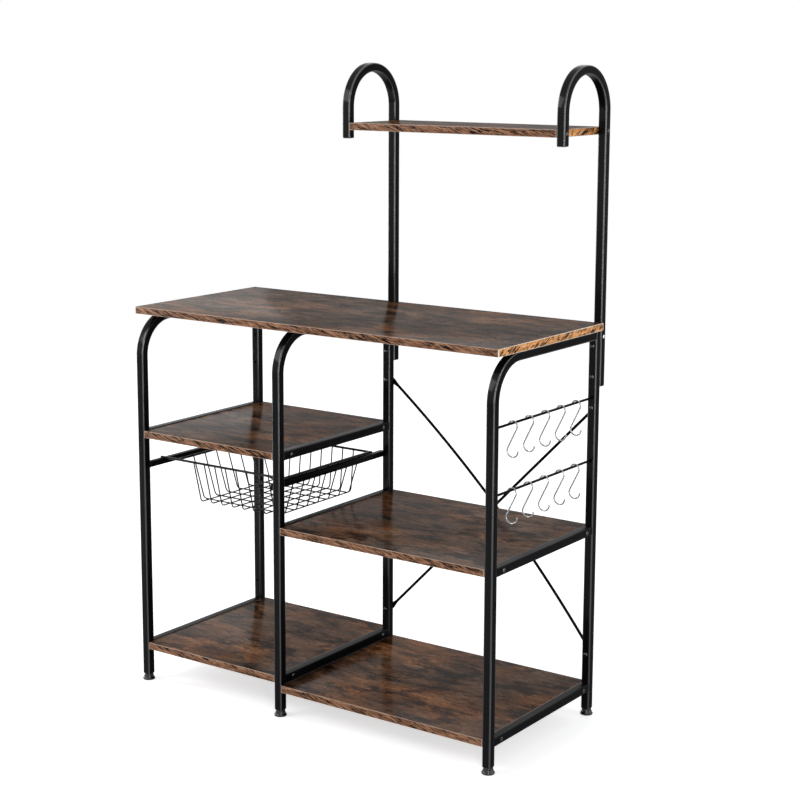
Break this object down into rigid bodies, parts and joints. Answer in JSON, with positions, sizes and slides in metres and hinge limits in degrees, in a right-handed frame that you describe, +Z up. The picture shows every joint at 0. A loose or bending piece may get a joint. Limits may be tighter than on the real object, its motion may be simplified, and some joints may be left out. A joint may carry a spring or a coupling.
{
  "type": "bakers rack",
  "caption": "Black steel tube bakers rack with rustic brown boards, a hutch shelf, a pull-out wire basket and chrome S-hooks on side rods.",
  "frame": {"origin": "on the floor, under the middle of the bounding box", "axes": "+X to the rack's right, +Y to its back, +Z up"},
  "size_m": [0.9, 0.42, 1.32],
  "materials": {
    "frame_paint": "semi-gloss black powder coat",
    "board_laminate": "satin rustic brown laminate on chipboard",
    "black_plastic": "satin black moulded plastic",
    "hook_chrome": "bright chrome plate",
    "bolt_black": "black zinc-plated bolts",
    "zinc": "bright zinc plate"
  },
  "bodies": {
    "rack": {"front_leg_left": "frame_paint", "rear_leg_left": "frame_paint", "front_leg_middle": "frame_paint", "rear_leg_middle": "frame_paint", "front_leg_right": "frame_paint", "rear_leg_right": "frame_paint", "rail_left_upper": "frame_paint", "rail_left_bottom": "frame_paint", "rail_middle_upper": "frame_paint", "rail_middle_centre": "frame_paint", "rail_middle_bottom_upper": "frame_paint", "rail_middle_bottom_lower": "frame_paint", "rail_right_centre": "frame_paint", "rail_right_bottom": "frame_paint", "basket_runner_left": "frame_paint", "basket_runner_right": "frame_paint", "hutch_post_middle": "frame_paint", "hutch_post_right": "frame_paint", "brace_rod_front": "frame_paint", "brace_rod_rear": "frame_paint", "hook_rod_upper": "frame_paint", "hook_rod_lower": "frame_paint", "worktop": "board_laminate", "board_left_upper": "board_laminate", "board_left_bottom": "board_laminate", "board_right_centre": "board_laminate", "board_right_bottom": "board_laminate", "hutch_shelf": "board_laminate", "foot_front_left": "black_plastic", "foot_rear_left": "black_plastic", "foot_front_middle": "black_plastic", "foot_rear_middle": "black_plastic", "foot_front_right": "black_plastic", "foot_rear_right": "black_plastic", "tube_cap_middle": "black_plastic", "tube_cap_right": "black_plastic", "post_bolt_middle_upper": "bolt_black", "post_bolt_middle_lower": "bolt_black", "brace_bolt_middle_upper": "bolt_black", "brace_bolt_middle_lower": "bolt_black", "post_bolt_right_upper": "bolt_black", "post_bolt_right_lower": "bolt_black", "brace_bolt_right_upper": "bolt_black", "brace_bolt_right_lower": "bolt_black", "lock_screw": "zinc"},
    "basket": {"basket_front": "frame_paint", "basket_back": "frame_paint", "basket_left": "frame_paint", "basket_right": "frame_paint", "basket_floor": "frame_paint"},
    "hook_upper_1": {"s_hook_upper_1": "hook_chrome"},
    "hook_upper_2": {"s_hook_upper_2": "hook_chrome"},
    "hook_upper_3": {"s_hook_upper_3": "hook_chrome"},
    "hook_upper_4": {"s_hook_upper_4": "hook_chrome"},
    "hook_upper_5": {"s_hook_upper_5": "hook_chrome"},
    "hook_lower_1": {"s_hook_lower_1": "hook_chrome"},
    "hook_lower_2": {"s_hook_lower_2": "hook_chrome"},
    "hook_lower_3": {"s_hook_lower_3": "hook_chrome"},
    "hook_lower_4": {"s_hook_lower_4": "hook_chrome"},
    "hook_lower_5": {"s_hook_lower_5": "hook_chrome"}
  },
  "joints": [
    {"name": "basket_slide", "type": "slide", "parent": "rack", "child": "basket", "axis": [0, -1, 0], "range_m": [-0.03, 0.18]},
    {"name": "hook_upper_1_swing", "type": "hinge", "parent": "rack", "child": "hook_upper_1", "pos_m": [0.436, -0.127, 0.665], "axis": [0, 1, 0], "range_deg": [-60, 60]},
    {"name": "hook_upper_2_swing", "type": "hinge", "parent": "rack", "child": "hook_upper_2", "pos_m": [0.436, -0.068, 0.665], "axis": [0, 1, 0], "range_deg": [-60, 60]},
    {"name": "hook_upper_3_swing", "type": "hinge", "parent": "rack", "child": "hook_upper_3", "pos_m": [0.436, -0.009, 0.665], "axis": [0, 1, 0], "range_deg": [-60, 60]},
    {"name": "hook_upper_4_swing", "type": "hinge", "parent": "rack", "child": "hook_upper_4", "pos_m": [0.436, 0.05, 0.665], "axis": [0, 1, 0], "range_deg": [-60, 60]},
    {"name": "hook_upper_5_swing", "type": "hinge", "parent": "rack", "child": "hook_upper_5", "pos_m": [0.436, 0.109, 0.665], "axis": [0, 1, 0], "range_deg": [-60, 60]},
    {"name": "hook_lower_1_swing", "type": "hinge", "parent": "rack", "child": "hook_lower_1", "pos_m": [0.436, -0.127, 0.537], "axis": [0, 1, 0], "range_deg": [-60, 60]},
    {"name": "hook_lower_2_swing", "type": "hinge", "parent": "rack", "child": "hook_lower_2", "pos_m": [0.436, -0.068, 0.537], "axis": [0, 1, 0], "range_deg": [-60, 60]},
    {"name": "hook_lower_3_swing", "type": "hinge", "parent": "rack", "child": "hook_lower_3", "pos_m": [0.436, -0.009, 0.537], "axis": [0, 1, 0], "range_deg": [-60, 60]},
    {"name": "hook_lower_4_swing", "type": "hinge", "parent": "rack", "child": "hook_lower_4", "pos_m": [0.436, 0.05, 0.537], "axis": [0, 1, 0], "range_deg": [-60, 60]},
    {"name": "hook_lower_5_swing", "type": "hinge", "parent": "rack", "child": "hook_lower_5", "pos_m": [0.436, 0.109, 0.537], "axis": [0, 1, 0], "range_deg": [-60, 60]}
  ]
}
